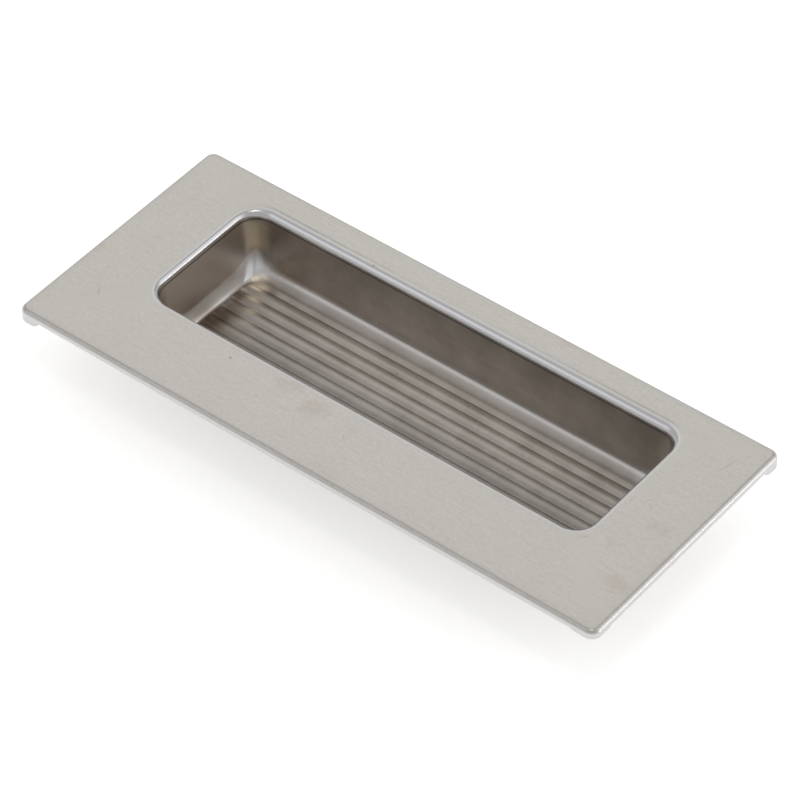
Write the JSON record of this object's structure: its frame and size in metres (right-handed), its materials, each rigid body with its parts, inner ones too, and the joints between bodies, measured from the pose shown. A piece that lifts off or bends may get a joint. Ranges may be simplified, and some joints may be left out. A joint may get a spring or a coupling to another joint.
{
  "type": "recessed furniture pull handle",
  "caption": "Flush pull handle pressed from one steel sheet: a flat face plate with a turned-down rim and an off-centre finger pocket with a ribbed floor.",
  "frame": {"origin": "centre of the bounding box's base, level with the back of the finger pocket", "axes": "+X along the plate, +Y across it towards the edge that the pocket lies nearer, +Z out of the face"},
  "size_m": [0.12, 0.05, 0.0133],
  "materials": {
    "satin_steel": "fine satin brushing along the plate, brighter where the sheet is bent"
  },
  "bodies": {
    "root": {"recessed_handle": "satin_steel"}
  },
  "joints": []
}
